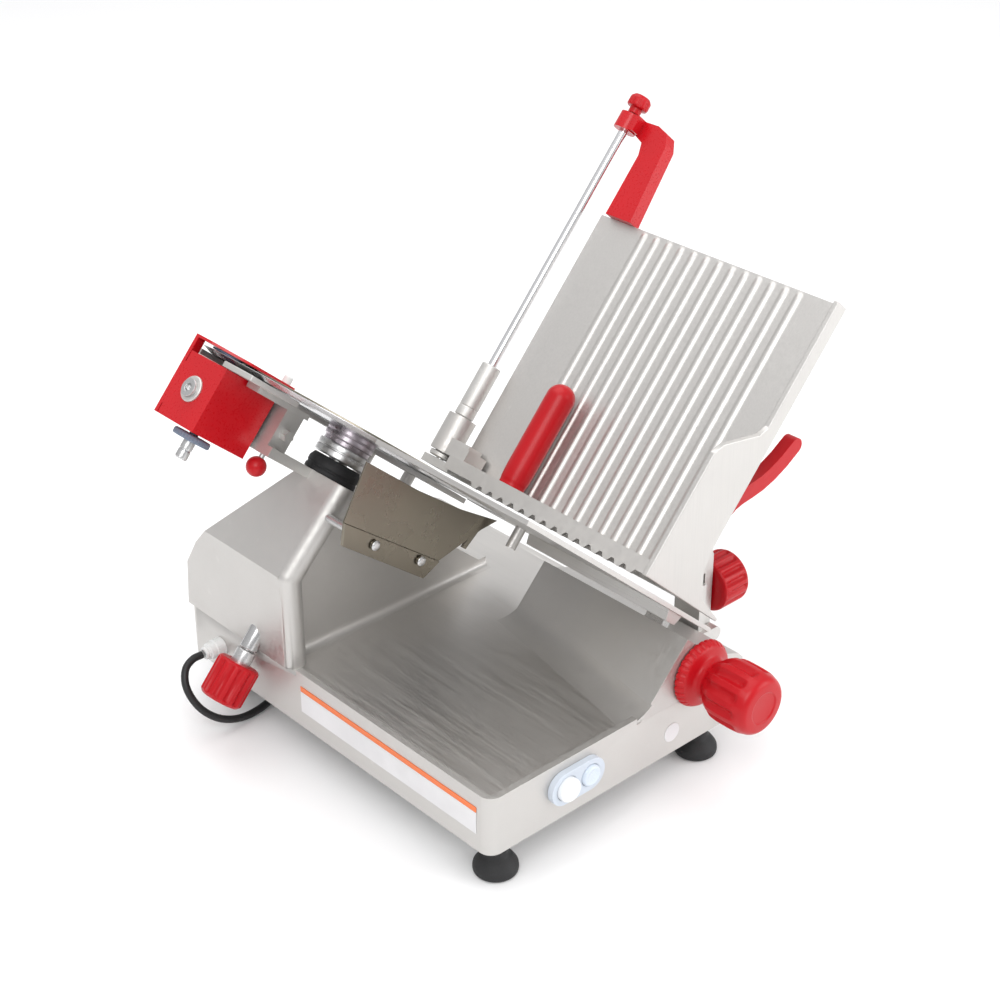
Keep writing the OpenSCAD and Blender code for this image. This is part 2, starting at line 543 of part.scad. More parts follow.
module cord_coil() color(dark) B() translate([coil[0], coil[1], -foot_h]) rotate_extrude()
  translate([coil[2] - 3 * cord_r, 0]) square([6 * cord_r, 8 * cord_r]);
module cord_plug() color(dark) B() translate([plug_at[0], plug_at[1], -foot_h + 13]) union() {
  rotate([0, 90, 0]) cylinder(r = 12, h = 30);
  translate([-14, 0, 0]) rotate([0, 90, 0]) cylinder(r1 = 5, r2 = 9, h = 14);
  for (s = [-1, 1]) translate([30, s * 6.35 - 0.8, -3.2]) cube([16, 1.6, 6.4]);
  translate([30, 0, -7.5]) rotate([0, 90, 0]) cylinder(r = 2.4, h = 18);
}

base_deck();
gauge_housing();
motor_tower();
bottom_cover();
feet();
foot_studs();
shaft_seal();
bearing_housing();
shaft_bearings();
motor_shell();
motor_mount();
drive_belt();
ring_guard();
blade_cover();
deflector();
deflector_studs();
sharp_mount();
cable_gland();
switch_bezel();
switch_body();
label_plate();
label_band();
badge_disc();
rail_rods();
gauge_guide();
blade();
blade_hub();
blade_shaft();
blade_pulley();
motor_rotor();
index_knob();
index_shaft();
gauge_plate();
gauge_arm();
carriage_block();
carriage_arm();
tray_floor();
tray_wall();
tray_bracket();
tray_lever();
rod_arm();
press_rod();
rod_foot();
rod_knob();
lock_knob();
press_sleeve();
press_arm();
press_grip();
sharp_cover();
sharp_frame();
sharp_screw();
sharp_wheel_low();
sharp_wheel_top();
pull_ball();
release_knob();
start_button();
stop_button();
cord_lead();
cord_coil();
cord_plug();
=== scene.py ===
"""A deli meat slicer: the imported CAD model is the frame, and the pieces below are its visible skin."""
import json
import math

import bmesh
import bpy
from mathutils import Matrix, Vector


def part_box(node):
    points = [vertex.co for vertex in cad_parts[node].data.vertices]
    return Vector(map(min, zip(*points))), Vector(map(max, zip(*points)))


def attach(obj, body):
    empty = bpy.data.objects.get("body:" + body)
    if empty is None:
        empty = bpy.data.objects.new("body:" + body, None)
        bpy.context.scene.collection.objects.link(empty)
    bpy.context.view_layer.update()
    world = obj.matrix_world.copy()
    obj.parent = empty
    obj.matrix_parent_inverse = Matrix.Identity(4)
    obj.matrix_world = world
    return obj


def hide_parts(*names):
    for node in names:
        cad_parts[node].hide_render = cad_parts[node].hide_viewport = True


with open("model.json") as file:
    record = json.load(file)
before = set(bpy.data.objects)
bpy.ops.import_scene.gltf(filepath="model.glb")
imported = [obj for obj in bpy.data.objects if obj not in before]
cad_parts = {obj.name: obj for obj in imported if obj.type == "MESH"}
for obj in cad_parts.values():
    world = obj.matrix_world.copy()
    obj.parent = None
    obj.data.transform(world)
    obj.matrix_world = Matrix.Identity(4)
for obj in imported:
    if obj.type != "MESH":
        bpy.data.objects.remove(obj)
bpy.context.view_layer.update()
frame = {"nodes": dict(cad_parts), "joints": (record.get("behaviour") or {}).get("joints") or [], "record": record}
MM = 0.001
BODY_OF = {n: b for b, nodes in frame["record"]["behaviour"]["bodies"].items() for n in nodes}
SLOT_OF = {s["node"]: s["material_slot"] for s in frame["record"]["subparts"]}
JOINT = {j["name"]: j for j in frame["joints"]}

# ---------------------------------------------------------------- places
# base frame: millimetres from the casting's front left lower corner
BASE_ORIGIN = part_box("base_deck")[0]
# slope frame: x runs down the slope, z along the blade's axis, 0 at the cutting plane
AXIS = Vector(JOINT["blade_spin"]["axis"]).normalized()
SLOPE = Vector((AXIS.z, 0, -AXIS.x))
BLADE_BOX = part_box("blade")
HUB_PLACE = (BLADE_BOX[0] + BLADE_BOX[1]) / 2 + AXIS * 0.2 * MM
HUB_Y = (HUB_PLACE.y - BASE_ORIGIN.y) / MM
DECK_Z = 51


def base(x, y, z):
    return BASE_ORIGIN + Vector((x, y, z)) * MM


def slope(x, y, z):
    """y is measured from the casting's front face, as in the base frame."""
    return HUB_PLACE + SLOPE * x * MM + Vector((0, 1, 0)) * (y - HUB_Y) * MM + AXIS * z * MM


# places in the slope frame: down the slope, from the casting's front
RELEASE = (28, HUB_Y + 11)
PULL_BALL = (-67, HUB_Y + 16)
STONE_LOW = (-120, HUB_Y + 45)
STONE_TOP = (-124, HUB_Y + 52)
PRESS_ROD = (128.5, 311)
# places in the base frame
INDEX_KNOB = slope(202.3, -0.5, -37.5)
LOCK_KNOB = base(324, 70, 89)
FEET = [(x, y) for x in (28, 270) for y in (24, 388)]
GLAND = base(0, 363, 27)


def placed(origin, along):
    """A matrix at origin whose local Z is along."""
    return Matrix.Translation(origin) @ Vector(along).to_track_quat("Z", "Y").to_matrix().to_4x4()


# ---------------------------------------------------------------- materials
class Graph:
    """Short calls for one material's nodes."""

    def __init__(self, name):
        self.material = bpy.data.materials.new(name)
        self.material.use_nodes = True
        self.tree = self.material.node_tree
        self.shader = self.tree.nodes["Principled BSDF"]
        self.place = self.tree.nodes.new("ShaderNodeTexCoord").outputs["Object"]

    def add(self, kind, **values):
        node = self.tree.nodes.new(kind)
        for key, value in values.items():
            if key in node.inputs:
                node.inputs[key].default_value = value
            else:
                setattr(node, key, value)
        return node

    def join(self, a, b):
        self.tree.links.new(a, b)

    def noise(self, stretch, detail=3, rough=0.55):
        move = self.add("ShaderNodeMapping", Scale=stretch)
        self.join(self.place, move.inputs["Vector"])
        noise = self.add("ShaderNodeTexNoise", Scale=1.0, Detail=detail, Roughness=rough)
        self.join(move.outputs["Vector"], noise.inputs["Vector"])
        return noise.outputs["Fac"]

    def spread(self, value, low, high, at=(0.3, 0.7)):
        node = self.tree.nodes.new("ShaderNodeMapRange")
        for socket, number in zip(("From Min", "From Max", "To Min", "To Max"), (*at, low, high)):
            node.inputs[socket].default_value = number
        self.join(value, node.inputs["Value"])
        return node.outputs["Result"]

    def mix(self, factor, a, b):
        node = self.add("ShaderNodeMix", data_type="RGBA")
        self.join(factor, node.inputs["Factor"])
        for socket, value in ((node.inputs["A"], a), (node.inputs["B"], b)):
            if isinstance(value, bpy.types.NodeSocket):
                self.join(value, socket)
            else:
                socket.default_value = (*value, 1)
        return node.outputs["Result"]

    def sum(self, a, b, how="MULTIPLY_ADD", by=1.0):
        node = self.add("ShaderNodeMath", operation=how)
        self.join(a, node.inputs[0])
        node.inputs[1].default_value = by
        self.join(b, node.inputs[2])
        return node.outputs["Value"]

    def relief(self, height, depth, strength=0.6):
        bump = self.add("ShaderNodeBump", Strength=strength, Distance=depth)
        self.join(height, bump.inputs["Height"])
        self.join(bump.outputs["Normal"], self.shader.inputs["Normal"])


def shade(colour, by):
    return tuple(min(1.0, c * by) for c in colour)


def metal(name, colour, rough, grain, tone=0.10, depth=0.00006, gloss=1.0, marks=0.35, nicks=0.25):
    """Metal with a drawn grain, cloudy handling marks and fine bright scratches."""
    g = Graph(name)
    lines = g.noise(grain, detail=4)
    cloud = g.noise((14, 14, 14), detail=5, rough=0.6)
    scratch = g.noise((grain[0] * 0.22, grain[1] * 0.22, grain[2] * 0.22), detail=1)
    body = g.mix(g.spread(lines, 0, 1), shade(colour, 1 - tone), shade(colour, 1 + tone))
    body = g.mix(g.spread(cloud, 0, marks), body, shade(colour, 0.82))
    body = g.mix(g.spread(scratch, 0, nicks, at=(0.72, 0.8)), body, shade(colour, 1.2))
    g.join(body, g.shader.inputs["Base Color"])
    worn = g.sum(cloud, g.spread(lines, rough - 0.1, rough + 0.1), by=0.12)
    g.join(worn, g.shader.inputs["Roughness"])
    g.shader.inputs["Metallic"].default_value = gloss
    g.relief(lines, depth)
    return g.material


def turned(name, colour, rough, rings=900, tone=0.12, depth=0.00003, spin=0.0):
    """Metal turned or ground round the piece's own Z axis."""
    g = Graph(name)
    wave = g.add("ShaderNodeTexWave", wave_type="RINGS", rings_direction="Z", Scale=rings, Distortion=1.5,
                 Detail=3.0)
    g.join(g.place, wave.inputs["Vector"])
    cloud = g.noise((22, 22, 22), detail=5)
    body = g.mix(wave.outputs["Fac"], shade(colour, 1 - tone), shade(colour, 1 + tone))
    body = g.mix(g.spread(cloud, 0, 0.35), body, shade(colour, 0.8))
    g.join(body, g.shader.inputs["Base Color"])
    g.join(g.sum(cloud, g.spread(wave.outputs["Fac"], rough - 0.05, rough + 0.06, at=(0, 1)), by=0.1),
           g.shader.inputs["Roughness"])
    g.shader.inputs["Metallic"].default_value = 1.0
    g.shader.inputs["Anisotropic"].default_value = spin
    g.relief(wave.outputs["Fac"], depth, 0.35)
    return g.material


def plastic(name, colour, rough, grain=1400, depth=0.00005, coat=0.0, wear=0.5, tone=0.06, gloss=0.5):
    """Moulded plastic, rubber or paint: a fine skin, slow colour drift and rubbed marks."""
    g = Graph(name)
    skin = g.noise((grain, grain, grain), detail=2)
    drift = g.noise((18, 18, 18), detail=4)
    rub = g.noise((140, 140, 40), detail=6, rough=0.7)
    body = g.mix(g.spread(drift, 0, 1), shade(colour, 1 - tone), shade(colour, 1 + tone))
    body = g.mix(g.spread(rub, 0, 0.2 * wear, at=(0.64, 0.8)), body, tuple(c * 0.8 + 0.05 for c in colour))
    g.join(body, g.shader.inputs["Base Color"])
    g.join(g.sum(rub, g.spread(skin, rough - 0.05, rough + 0.05), by=0.12 * wear),
           g.shader.inputs["Roughness"])
    g.shader.inputs["Coat Weight"].default_value = coat
    g.shader.inputs["Specular IOR Level"].default_value = gloss
    g.shader.inputs["Coat Roughness"].default_value = 0.12
    g.relief(skin, depth, 0.5)
    return g.material


RED = (0.46, 0.003, 0.008)
CASTING = (0.60, 0.585, 0.565)
M = {
    "casting": metal("casting_satin", CASTING, 0.42, (260, 260, 260), tone=0.03, depth=0.00004, gloss=0.82,
                     marks=0.12),
    # deck: the casting's own colour made 8% lighter, a painted highlight for light falling on the top; the brushed
    # grain is the deck's own
    "deck": metal("deck_satin_painted_light", shade(CASTING, 1.08), 0.37, (600, 12, 600), tone=0.04, depth=0.00001,
                  gloss=0.95, marks=0.15),
    "plate": metal("plate_brushed", shade(CASTING, 0.98), 0.31, (1200, 12, 1200), tone=0.05, depth=0.00003,
                   gloss=0.93, marks=0.15),
    "tray": metal("tray_brushed", shade(CASTING, 1.0), 0.36, (700, 700, 16), tone=0.05, depth=0.00003,
                  gloss=0.82, marks=0.14),
    "cast": metal("cast_fine", (0.66, 0.65, 0.63), 0.46, (900, 900, 900), tone=0.07, depth=0.00012,
                  gloss=0.85),
    "steel": turned("steel_turned", (0.62, 0.62, 0.62), 0.24),
    "sheet": metal("steel_sheet", (0.55, 0.55, 0.54), 0.32, (60, 900, 900), tone=0.06),
    "polish": metal("steel_polished", (0.22, 0.198, 0.16), 0.22, (20, 20, 20), tone=0.02, depth=0.000002,
                    marks=0.06, nicks=0.0),
    "blade": turned("blade_ground", (0.66, 0.66, 0.67), 0.17, rings=1500, tone=0.07, spin=0.5),
    "hub": turned("hub_turned", (0.50, 0.45, 0.49), 0.26, rings=1200, tone=0.16),
    "chrome": turned("chrome_rod", (0.80, 0.80, 0.81), 0.09, rings=400, tone=0.03, depth=0.00001),
    "rubber": plastic("rubber_black", (0.016, 0.016, 0.017), 0.62, grain=900, depth=0.0001, tone=0.2),
    "black": plastic("plastic_black", (0.03, 0.03, 0.033), 0.5),
    "motor": plastic("motor_paint", (0.05, 0.055, 0.06), 0.4, grain=700, depth=0.0001),
    "nylon": plastic("nylon_grey", (0.72, 0.73, 0.72), 0.4),
    "grip_red": plastic("plastic_red", RED, 0.33, coat=0.05, wear=0.3, gloss=0.28),
    "paint_red": plastic("paint_red", shade(RED, 1.1), 0.28, grain=500, depth=0.00004, coat=0.15, wear=0.3,
                         gloss=0.35),
    "bezel": plastic("rubber_blue_grey", (0.56, 0.61, 0.68), 0.42),
    "stone": plastic("stone_blue", (0.09, 0.12, 0.19), 0.8, grain=2600, depth=0.0004, tone=0.35),
    "white": plastic("button_white", (0.84, 0.86, 0.88), 0.22, coat=0.4),
    "blue": plastic("button_blue", (0.60, 0.67, 0.76), 0.22, coat=0.4),
    "film": plastic("label_film", (0.70, 0.69, 0.70), 0.33, grain=300, depth=0.00002),
    "band": plastic("label_band", (0.80, 0.17, 0.035), 0.33, grain=300, depth=0.00002),
    "cord": plastic("cord_black", (0.013, 0.013, 0.014), 0.48, grain=1800, depth=0.00008, tone=0.25),
}


# ---------------------------------------------------------------- pieces
def settle(obj, nodes, look, sharp=32):
    """Gives a finished mesh its materials and its body, and hides the CAD nodes that it stands for."""
    for key in look if isinstance(look, (list, tuple)) else [look]:
        obj.data.materials.append(M[key])
    if obj.type == "MESH":
        obj.data.shade_smooth()
        obj.data.set_sharp_from_angle(angle=math.radians(sharp))
    nodes = [nodes] if isinstance(nodes, str) else nodes
    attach(obj, BODY_OF[nodes[0]])
    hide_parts(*nodes)
    return obj


def detail(obj, near, look, sharp=32):
    """A small piece with no CAD node of its own, which rides with the node it sits on."""
    for key in look if isinstance(look, (list, tuple)) else [look]:
        obj.data.materials.append(M[key])
    obj.data.shade_smooth()
    obj.data.set_sharp_from_angle(angle=math.radians(sharp))
    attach(obj, BODY_OF[near])
    return obj


def made(name, bm, matrix=None):
    """An object from a bmesh, with its normals turned outwards."""
    bmesh.ops.recalc_face_normals(bm, faces=bm.faces)
    mesh = bpy.data.meshes.new(name)
    bm.to_mesh(mesh)
    bm.free()
    obj = bpy.data.objects.new(name, mesh)
    bpy.context.scene.collection.objects.link(obj)
    if matrix is not None:
        obj.matrix_world = matrix
    return obj


def refined(node, width, look, corner=30, keep=None, paint=None, segments=3):
    """A CAD node's solid with its facets joined into faces and its edges rounded by width millimetres."""
    bm = bmesh.new()
    bm.from_mesh(frame["nodes"][node].data)
    bmesh.ops.remove_doubles(bm, verts=bm.verts, dist=5e-6)
    bmesh.ops.dissolve_limit(bm, angle_limit=math.radians(0.6), verts=bm.verts, edges=bm.edges)
    edges = [e for e in bm.edges if e.is_manifold and e.calc_face_angle(0) > math.radians(corner)]
    if keep:
        edges = [e for e in edges if not all(keep(v.co) for v in e.verts)]
    bmesh.ops.bevel(bm, geom=edges, offset=width * MM, segments=segments, profile=0.6, affect="EDGES",
                    clamp_overlap=True)
    for face in bm.faces:
        face.material_index = 0
        if paint and paint(face):
            face.material_index = 1
    bmesh.ops.triangulate(bm, faces=[f for f in bm.faces if len(f.verts) > 4])
    skin = settle(made(node + ".skin", bm), node, look, sharp=44)
    even = skin.modifiers.new("even_normals", "WEIGHTED_NORMAL")
    even.keep_sharp, even.weight = True, 90
    return skin


def softened(points, radius, steps=4):
    """The open outline with each inner corner as a curve that begins radius before it."""
    out = [points[0]]
    for a, b, c in zip(points, points[1:], points[2:]):
        a, b, c = Vector(a), Vector(b), Vector(c)
        cut = min(radius, 0.45 * (b - a).length, 0.45 * (c - b).length)
        if cut < 1e-6:
            continue
        p, q = b + (a - b).normalized() * cut, b + (c - b).normalized() * cut
        for i in range(steps + 1):
            t = i / steps
            out.append(tuple(p * (1 - t) ** 2 + b * 2 * t * (1 - t) + q * t * t))
    out.append(points[-1])
    return out


def lathe(name, profile, origin, along, round_by=0.6, turns=96, dent=None):
    """Turns (radius, height) points round along; dent(angle, radius, height) moves the surface inwards."""
    rings = softened(profile, round_by)
    bm = bmesh.new()
    rows = []
    for r, h in rings:
        if r < 1e-6:
            rows.append([bm.verts.new((0, 0, h * MM))])
            continue
        row = []
        for i in range(turns):
            a = 2 * math.pi * i / turns
            s = (r - (dent(a, r, h) if dent else 0)) * MM
            row.append(bm.verts.new((s * math.cos(a), s * math.sin(a), h * MM)))
        rows.append(row)
    for a, b in zip(rows, rows[1:]):
        for i in range(turns):
            j = (i + 1) % turns
            corners = [a[i % len(a)], a[j % len(a)], b[j % len(b)], b[i % len(b)]]
            corners = [v for k, v in enumerate(corners) if v not in corners[:k]]
            if len(corners) > 2:
                bm.faces.new(corners)
    if len(rows[0]) > 1 and len(rows[-1]) > 1:
        for i in range(turns):
            j = (i + 1) % turns
            bm.faces.new([rows[-1][i], rows[-1][j], rows[0][j], rows[0][i]])
    return made(name, bm, placed(origin, along))


def flutes(count, depth, half, low, high, fade=3.0):
    """A dent for lathe(): count long hollows, each half degrees to a side, between two heights."""
    pitch = 2 * math.pi / count

    def dent(angle, radius, height):
        off = abs((angle + pitch / 2) % pitch - pitch / 2) / math.radians(half)
        share = min(1, max(0, (height - low) / fade), max(0, (high - height) / fade))
        return depth * max(0, 1 - off * off) * share * share * (3 - 2 * share)
    return dent


def smooth_path(points, per=8):
    """A Catmull-Rom curve through the points."""
    pts = [points[0] * 2 - points[1], *points, points[-1] * 2 - points[-2]]
    out = []
    for a, b, c, d in zip(pts, pts[1:], pts[2:], pts[3:]):
        for k in range(per):
            t = k / per
            out.append(0.5 * (2 * b + (c - a) * t + (2 * a - 5 * b + 4 * c - d) * t * t
                              + (3 * b - a - 3 * c + d) * t ** 3))
    out.append(pts[-2])
    return out


# ---------------------------------------------------------------- camera
def make_camera():
    data = bpy.data.cameras.new("camera")
    data.sensor_width = 36
    data.lens = 71.64
    data.clip_start, data.clip_end = 0.05, 60
    camera = bpy.data.objects.new("camera", data)
    bpy.context.scene.collection.objects.link(camera)
    azimuth, elevation = math.radians(42.5), math.radians(29.5)
    forward = Vector((math.sin(azimuth) * math.cos(elevation), math.cos(azimuth) * math.cos(elevation),
                      -math.sin(elevation)))
    camera.matrix_world = Matrix.Translation(base(-834, -922, 1034)) @ \
        forward.to_track_quat("-Z", "Y").to_matrix().to_4x4()
    bpy.context.scene.camera = camera


# ---------------------------------------------------------------- mains lead
CORD_R = 3.5
CORD_ROUTE = [(-22, 363, 27), (-32, 363, 26.5), (-42, 360, 22), (-48, 353, 12), (-47, 345, -1),
              (-40, 338, -14),
              (-26, 333, -26), (-6, 332, -34), (18, 335, -36.5), (48, 345, -36.5), (78, 362, -36.5),
              (104, 386, -36.5), (122, 413, -36.5), (127.2, 436, -36.5), (128.4, 456, -36.5),
              (130.3, 467, -36.5)]
COIL_CENTRE, COIL_OUTER = (175, 476), 43.5


def coil_points():
    """Layers of two turns each, wound in and out, a diameter apart, then away towards the plug."""
    pitch, ground, per = 2 * CORD_R, -40 + CORD_R, 36
    points = []
    for k in range(1, int(7.25 * per) + 1):
        turn = k / per
        layer = int(min(turn / 2, 3))
        within = turn - 2 * layer
        inward = layer % 2 == 0
        radius = COIL_OUTER - pitch * within if inward else COIL_OUTER - pitch * (2 - within)
        edge = min(turn % 2, 2 - turn % 2)
        near = round(turn / 2)
        rise = near if turn > 1 and near and edge < 0.12 else None
        level = layer if rise is None else rise - 0.5 + 0.5 * math.sin((turn - 2 * rise) / 0.12 * math.pi / 2)
        a = math.pi - 2 * math.pi * turn
        points.append((COIL_CENTRE[0] + radius * math.cos(a), COIL_CENTRE[1] + radius * math.sin(a),
                       ground + pitch * level))
    return points


def make_cord():
    lead = smooth_path([Vector(p) for p in CORD_ROUTE], per=4)
    wound = [Vector(p) for p in coil_points()]
    away = [Vector(p) for p in ((198, 513.5, -15.5), (213, 514.2, -17), (228, 514.2, -22), (238, 514, -26.2),
                                (250, 514, -27))]
    points = lead + wound + smooth_path(away, per=3)
    curve = bpy.data.curves.new("cord", "CURVE")
    curve.dimensions = "3D"
    curve.bevel_depth = CORD_R * MM
    curve.bevel_resolution = 5
    curve.use_fill_caps = True
    line = curve.splines.new("POLY")
    line.points.add(len(points) - 1)
    for point, place in zip(line.points, points):
        point.co = (*base(*place), 1)
    cord = bpy.data.objects.new("mains_cord", curve)
    bpy.context.scene.collection.objects.link(cord)
    settle(cord, ["cord_lead", "cord_coil"], "cord")
    plug = refined("cord_plug", 1.2, "cord", corner=40)


make_camera()
make_cord()


# ---------------------------------------------------------------- casting and fixed parts
def blend(name, ends, one, two, reach):
    """A hollow fillet along the corner between two faces, reach millimetres up each of them."""
    bm = bmesh.new()
    rows = []
    for corner in ends:
        curve = [one * (reach * (1 - t) ** 2) + two * (reach * t * t) for t in (i / 12 for i in range(13))]
        rows.append([bm.verts.new(corner + v * MM) for v in [*curve, -(one + two) * 0.6]])
    n = len(rows[0])
    for i in range(n):
        bm.faces.new([rows[0][i], rows[0][(i + 1) % n], rows[1][(i + 1) % n], rows[1][i]])
    bm.faces.new(rows[0])
    bm.faces.new(rows[1])
    detail(made(name, bm), "base_deck", "casting")


def make_base():
    top = base(0, 0, DECK_Z).z
    back_left = base(248, 249, 0)
    right_housing = base(158, 197, 0)

    def under_housings(co):
        rim = abs(co.z - top) < 2e-4
        under_tower = co.y > back_left.y and co.x < back_left.x
        under_gauge = co.x > right_housing.x and co.y < right_housing.y
        return rim and (under_tower or under_gauge)

    # the upward deck faces take the lighter deck material: painted light on the top of the casting
    def on_deck(face):
        return face.normal.z > 0.95 and abs(face.calc_center_median().z - top) < 1e-3

    refined("base_deck", 1.6, ["casting", "deck"], keep=under_housings, paint=on_deck)
    refined("gauge_housing", 2.0, "casting", keep=lambda co: abs(co.z - top) < 2e-4)
    refined("motor_tower", 2.5, "casting", keep=lambda co: abs(co.z - top) < 2e-4)
    # the casting's hollow blends, between the deck and the tower, and between the deck and the ramp
    blend("tower_blend", [base(x, 278, DECK_Z) for x in (20, 246)], Vector((0, -1, 0)),
          Vector((0, -0.145, 0.989)), 9)
    blend("ramp_blend", [base(169.9, 0.6, DECK_Z), base(206.2, 194.4, DECK_Z)], Vector((-0.983, 0.184, 0)),
          Vector((0.6628, -0.1241, 0.7386)), 18)
    refined("bottom_cover", 0.5, "sheet")
    profile = [(0, 0), (16.5, 0), (18.9, 1.2), (19.5, 4), (19.1, 8), (16.5, 12), (14, 15.2), (11.5, 17.6),
               (10.4, 20),
               (10.4, 40), (0, 40)]
    for i, (x, y) in enumerate(FEET):
        foot = lathe(f"foot.{i // 2}{i % 2}", profile, base(x, y, -40), (0, 0, 1), round_by=1.2, turns=64)
        settle(foot, "feet", "rubber")


def make_switch():
    refined("switch_bezel", 1.4, "bezel", corner=40)
    for node, x, r, length, look in (("start_button", 80, 11, 12.4, "white"),
                                     ("stop_button", 106.5, 10, 9.4, "blue")):
        button = lathe(node + ".cap", [(0, 0), (r, 0), (r, length - 1.8), (r - 1.6, length - 0.1),
                                       (r - 3, length - 0.1),
                                       (r - 5, length - 0.6), (0, length - 0.9)],
                       base(x, 0.4, 33), (0, -1, 0), round_by=1.2, turns=64)
        settle(button, node, look)
    refined("label_plate", 0.15, "film")
    refined("label_band", 0.15, "band")
    badge = lathe("badge", [(0, 0), (9, 0), (9, 0.5), (8.4, 0.8), (0, 0.8)], base(210, 0, 22), (0, -1, 0),
                  round_by=0.3)
    settle(badge, "badge_disc", "film")


def make_gland():
    hexagon = flutes(6, 0.9, 30, 0.5, 8.4, fade=0.6)
    gland = lathe("gland", [(3.7, -8), (5.9, -8), (5.9, 0), (9, 0), (9, 8.6), (8.2, 9.2), (8, 14.4),
                            (6.6, 15.2),
                            (6.5, 16), (5.6, 16.4), (5.6, 17.4), (6.3, 17.8), (5.4, 19.9), (3.7, 20)],
                  GLAND, (-1, 0, 0), round_by=0.5, turns=72, dent=hexagon)
    settle(gland, "cable_gland", "nylon")


# ---------------------------------------------------------------- blade
def make_blade():
    disc = lathe("blade_disc", [(12, 0), (150, 0), (150, -0.4), (141, -3.5), (12, -3.5)], HUB_PLACE, AXIS,
                 0.15, 240)
    settle(disc, "blade", "blade", sharp=12)
    ring = lathe("hub_ring", [(0, -31), (22.6, -31), (24, -29.8), (24, -25), (23.3, -24.6), (23.3, -23.4),
                              (24, -23),
                              (24, -19), (23, -18), (0, -18)], HUB_PLACE, AXIS, 0.4)
    settle(ring, "blade_hub", "steel")
    boss = lathe("hub_boss", [(0, -18), (21.5, -18), (21.5, -14), (23, -13.2), (23, -9), (22.4, -8.6),
                              (22.4, -7.8),
                              (23, -7.4), (23, -3.5), (12, -3.5), (12, 0), (0, 0)], HUB_PLACE, AXIS, 0.4)
    settle(boss, "blade_hub", "hub")
    seal = lathe("seal", [(9.6, -48), (24.6, -48), (24.6, -44), (23.8, -43.4), (23.8, -42), (24.6, -41.4),
                          (24.6, -37), (22, -32), (12, -32), (9.6, -34)], HUB_PLACE, AXIS, 0.8)
    settle(seal, "shaft_seal", "rubber")
    refined("ring_guard", 0.7, "casting", corner=35)
    refined("blade_cover", 0.5, "polish", corner=35)


def make_deflector():
    refined("deflector", 0.35, "polish")
    for i, (x, z) in enumerate(((-18, -77), (42, -71))):
        rivet = lathe(f"rivet.{i}", [(0, 0.2), (4.6, 0.2), (4.4, 1.2), (3, 2.2), (0, 2.6)],
                      slope(x, 194.6, z),
                      (0, -1, 0), 0.5, 40)
        detail(rivet, "deflector", "steel")


# ---------------------------------------------------------------- sharpener
def make_sharpener():
    refined("sharp_mount", 0.9, "cast")
    refined("sharp_cover", 1.6, "paint_red")
    refined("sharp_screw", 0.5, "steel")
    ring = lathe("screw_ring", [(8.1, -0.2), (11.6, -0.2), (11.6, 1.2), (10.8, 2), (8.1, 2)],
                 slope(-146, HUB_Y + 45, -38),
                 -SLOPE, 0.4, 64)
    detail(ring, "sharp_screw", "cast")
    pin = lathe("plate_pin", [(0, 4.6), (4.2, 4.6), (4.2, 11), (3.4, 12), (0, 12)],
                slope(-74, HUB_Y + 27, 0), AXIS, 0.5, 40)
    detail(pin, "sharp_cover", "nylon")
    stone = lathe("stone_low", [(0, -28), (19.2, -28), (20, -27), (20, -13), (19.2, -12), (0, -12)],
                  slope(*STONE_LOW, 0), AXIS, 0.4)
    settle(stone, "sharp_wheel_low", "stone")
    knurl = flutes(32, 0.45, 3.2, -76.6, -71.8, fade=0.5)
    dial = lathe("stone_low_dial", [(0, -77), (16.2, -77), (17, -76), (17, -72.4), (15.8, -71.2), (4, -71.2),
                                    (4, -28),
                                    (0, -28)], slope(*STONE_LOW, 0), AXIS, 0.4, 128, knurl)
    settle(dial, "sharp_wheel_low", "slate")
    stub = lathe("stone_low_stub", [(0, -94), (4.4, -94), (5.5, -92.8), (5.5, -86), (5, -85.6), (5, -84.8),
                                    (5.5, -84.4),
                                    (5.5, -77), (0, -77)], slope(*STONE_LOW, 0), AXIS, 0.4, 48)
    settle(stub, "sharp_wheel_low", "steel")
    upper = lathe("stone_top", [(0, 0.5), (13.4, 0.5), (14, 0.9), (14, 2.2), (3, 2.2), (3, 5), (0, 5)],
                  slope(*STONE_TOP, 0), AXIS, 0.2, 64)
    settle(upper, "sharp_wheel_top", "stone")
    arc = [(9 * math.sin(math.pi * k / 16), -69 - 9 * math.cos(math.pi * k / 16)) for k in range(15)]
    ball = lathe("ball", [*arc, (2.5, -60.4), (0, -60.4)], slope(*PULL_BALL, 0), AXIS, 0.1, 64)
    settle(ball, "pull_ball", "grip_red")
    stem = lathe("ball_stem", [(0, -62), (2.5, -62), (2.5, -37), (2, -36), (0, -36)], slope(*PULL_BALL, 0),
                 AXIS, 0.3, 32)
    settle(stem, "pull_ball", "steel")


# ---------------------------------------------------------------- gauge plate and knobs
def make_gauge():
    refined("gauge_plate", 0.9, "plate", corner=35)
    skirt = flutes(30, 1.0, 2.6, -0.5, 8.5, fade=0.6)
    grip = flutes(12, 3.6, 9.8, 20, 65, fade=7)

    def dent(angle, radius, height):
        return skirt(angle, radius, height) if height < 9 else grip(angle, radius, height)

    knob = lathe("index_grip", [(5, 0), (31, 0), (31, 4), (28, 9), (23, 11), (19, 13), (18, 19), (25, 27),
                                (28.2, 33),
                                (29, 40), (29, 54), (28.6, 62), (26, 70), (23, 73), (15, 73.6), (14, 72.6),
                                (0, 72.4)],
                 INDEX_KNOB, (0, -1, 0), 2.0, 360, dent)
    settle(knob, "index_knob", "grip_red", sharp=50)


